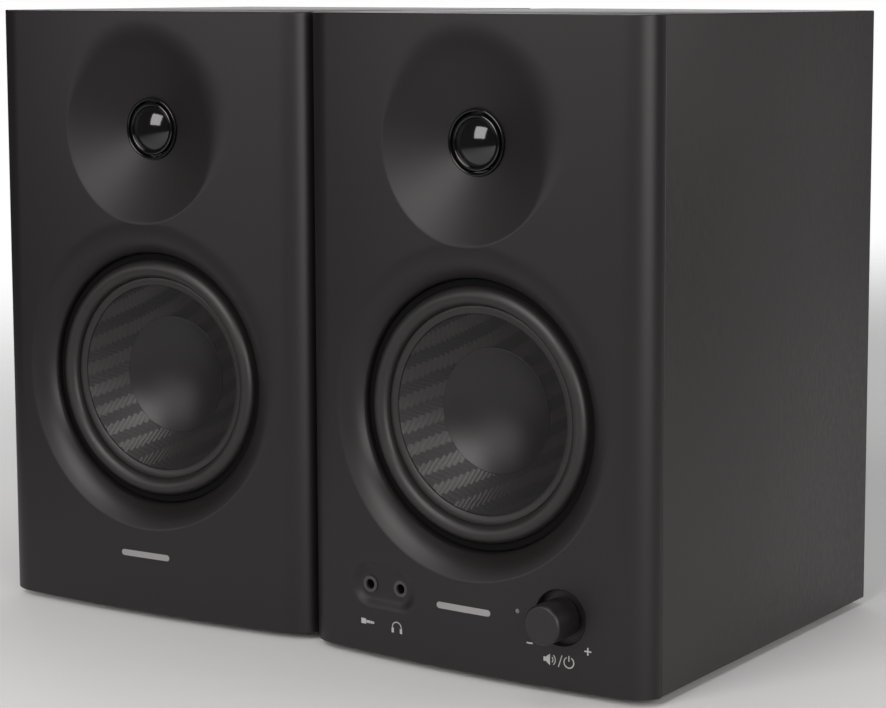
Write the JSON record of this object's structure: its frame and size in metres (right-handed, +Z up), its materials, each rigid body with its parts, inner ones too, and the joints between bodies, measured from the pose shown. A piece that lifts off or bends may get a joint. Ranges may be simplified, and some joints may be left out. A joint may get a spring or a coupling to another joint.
{
  "type": "desktop speakers",
  "caption": "Pair of compact two-way desktop monitor speakers: an active one with volume knob, front jacks and rear amplifier panel, and a passive partner.",
  "frame": {"origin": "centre of the pair's footprint box, on the table under the feet", "axes": "+Z up, the fronts face -Y, +X from the passive speaker to the active one"},
  "size_m": [0.2964, 0.189, 0.2275],
  "materials": {
    "cabinet_vinyl": "fine-grained dark vinyl wrap on fibreboard",
    "baffle_paint": "satin fine-textured black-brown moulding",
    "rear_panel": "black vinyl on fibreboard",
    "port_plastic": "satin moulded",
    "foot_rubber": "matte",
    "zinc_screws": "zinc plated",
    "gloss_ring": "gloss black",
    "dome_silk": "coated, glossy",
    "motor_steel": "zinc plated",
    "basket_enamel": "satin black",
    "surround_rubber": "satin",
    "cone_weave": "coated coarse twill weave",
    "cap_matte": "smooth matte",
    "coil_copper": "lacquered copper wire",
    "spider_cloth": "resin-dipped cloth",
    "ferrite": "sintered grey",
    "knob_matte": "soft-touch satin",
    "shaft_metal": "satin",
    "moulded_black": "moulded",
    "jack_plastic": "moulded, dark grey",
    "lamp_lens": "small diffusing lens",
    "circuit_board": "solder mask",
    "plate_paint": "textured powder coat",
    "black_screws": "black oxide",
    "heatsink_alloy": "extruded",
    "transformer_iron": "varnished laminations",
    "socket_black": "moulded",
    "socket_metal": "plated",
    "lever_red": "moulded",
    "lever_black": "moulded"
  },
  "bodies": {
    "active_speaker": {"active_cabinet_shell": "cabinet_vinyl", "active_front_baffle": "baffle_paint", "active_rear_board": "rear_panel", "active_port_tube": "port_plastic", "active_feet": "foot_rubber", "active_driver_screws": "zinc_screws", "active_tweeter_faceplate": "gloss_ring", "active_tweeter_motor": "motor_steel", "active_woofer_basket": "basket_enamel", "active_woofer_surround": "surround_rubber", "active_woofer_spider": "spider_cloth", "active_woofer_magnet": "ferrite", "active_woofer_pole_plates": "motor_steel", "volume_encoder": "moulded_black", "aux_jack": "jack_plastic", "headphone_jack": "jack_plastic", "power_led": "lamp_lens", "control_board": "circuit_board", "amp_plate": "plate_paint", "amp_plate_screws": "black_screws", "amp_board": "circuit_board", "amp_heatsink": "heatsink_alloy", "transformer": "transformer_iron", "mains_inlet": "moulded_black", "trs_sockets": "socket_black", "rca_sockets": "socket_metal", "tone_pots": "shaft_metal", "active_terminal_block": "moulded_black"},
    "passive_speaker": {"passive_cabinet_shell": "cabinet_vinyl", "passive_front_baffle": "baffle_paint", "passive_rear_board": "rear_panel", "passive_port_tube": "port_plastic", "passive_feet": "foot_rubber", "passive_driver_screws": "zinc_screws", "passive_tweeter_faceplate": "gloss_ring", "passive_tweeter_motor": "motor_steel", "passive_woofer_basket": "basket_enamel", "passive_woofer_surround": "surround_rubber", "passive_woofer_spider": "spider_cloth", "passive_woofer_magnet": "ferrite", "passive_woofer_pole_plates": "motor_steel", "passive_terminal_cup": "moulded_black", "passive_crossover_board": "circuit_board"},
    "active_woofer_moving": {"active_woofer_cone": "cone_weave", "active_woofer_dust_cap": "cap_matte", "active_woofer_voice_coil": "coil_copper"},
    "active_tweeter_moving": {"active_tweeter_dome": "dome_silk"},
    "passive_woofer_moving": {"passive_woofer_cone": "cone_weave", "passive_woofer_dust_cap": "cap_matte", "passive_woofer_voice_coil": "coil_copper"},
    "passive_tweeter_moving": {"passive_tweeter_dome": "dome_silk"},
    "volume_switch": {"volume_plunger": "moulded_black"},
    "volume_control": {"volume_knob": "knob_matte", "volume_shaft": "shaft_metal"},
    "treble_control": {"treble_knob": "knob_matte"},
    "bass_control": {"bass_knob": "knob_matte"},
    "active_red_clip": {"active_lever_red": "lever_red"},
    "active_black_clip": {"active_lever_black": "lever_black"},
    "passive_red_clip": {"passive_lever_red": "lever_red"},
    "passive_black_clip": {"passive_lever_black": "lever_black"}
  },
  "joints": [
    {"name": "pair_spacing", "type": "slide", "parent": "active_speaker", "child": "passive_speaker", "axis": [-1, 0, 0], "range_m": [0, 0.6]},
    {"name": "active_woofer_travel", "type": "slide", "parent": "active_speaker", "child": "active_woofer_moving", "axis": [0, -1, 0], "range_m": [-0.003, 0.003], "stiffness_N_per_m": 1200, "deforming": ["active_woofer_surround", "active_woofer_spider"]},
    {"name": "active_tweeter_travel", "type": "slide", "parent": "active_speaker", "child": "active_tweeter_moving", "axis": [0, -1, 0], "range_m": [-0.0003, 0.0003], "stiffness_N_per_m": 1500},
    {"name": "passive_woofer_travel", "type": "slide", "parent": "passive_speaker", "child": "passive_woofer_moving", "axis": [0.0677, -0.9977, 0], "range_m": [-0.003, 0.003], "stiffness_N_per_m": 1200, "deforming": ["passive_woofer_surround", "passive_woofer_spider"]},
    {"name": "passive_tweeter_travel", "type": "slide", "parent": "passive_speaker", "child": "passive_tweeter_moving", "axis": [0.0677, -0.9977, 0], "range_m": [-0.0003, 0.0003], "stiffness_N_per_m": 1500},
    {"name": "volume_press", "type": "slide", "parent": "active_speaker", "child": "volume_switch", "axis": [0, 1, 0], "range_m": [0, 0.0005], "stiffness_N_per_m": 3000, "springref_m": -0.0003},
    {"name": "volume_turn", "type": "hinge", "parent": "volume_switch", "child": "volume_control", "pos_m": [0.1152, -0.08395, 0.02705], "axis": [0, -1, 0], "continuous": true},
    {"name": "treble_turn", "type": "hinge", "parent": "active_speaker", "child": "treble_control", "pos_m": [0.0592, 0.08805, 0.128], "axis": [0, 1, 0], "range_deg": [-140, 140]},
    {"name": "bass_turn", "type": "hinge", "parent": "active_speaker", "child": "bass_control", "pos_m": [0.0952, 0.08805, 0.128], "axis": [0, 1, 0], "range_deg": [-140, 140]},
    {"name": "active_red_clip_press", "type": "hinge", "parent": "active_speaker", "child": "active_red_clip", "pos_m": [0.1107, 0.08355, 0.055], "axis": [-1, 0, 0], "range_deg": [0, 22], "stiffness_Nm_per_rad": 0.1, "springref_deg": -11.46},
    {"name": "active_black_clip_press", "type": "hinge", "parent": "active_speaker", "child": "active_black_clip", "pos_m": [0.0917, 0.08355, 0.055], "axis": [-1, 0, 0], "range_deg": [0, 22], "stiffness_Nm_per_rad": 0.1, "springref_deg": -11.46},
    {"name": "passive_red_clip_press", "type": "hinge", "parent": "passive_speaker", "child": "passive_red_clip", "pos_m": [-0.06788, 0.08104, 0.073], "axis": [-0.9977, -0.0677, 0], "range_deg": [0, 22], "stiffness_Nm_per_rad": 0.1, "springref_deg": -11.46},
    {"name": "passive_black_clip_press", "type": "hinge", "parent": "passive_speaker", "child": "passive_black_clip", "pos_m": [-0.08684, 0.07976, 0.073], "axis": [-0.9977, -0.0677, 0], "range_deg": [0, 22], "stiffness_Nm_per_rad": 0.1, "springref_deg": -11.46}
  ]
}
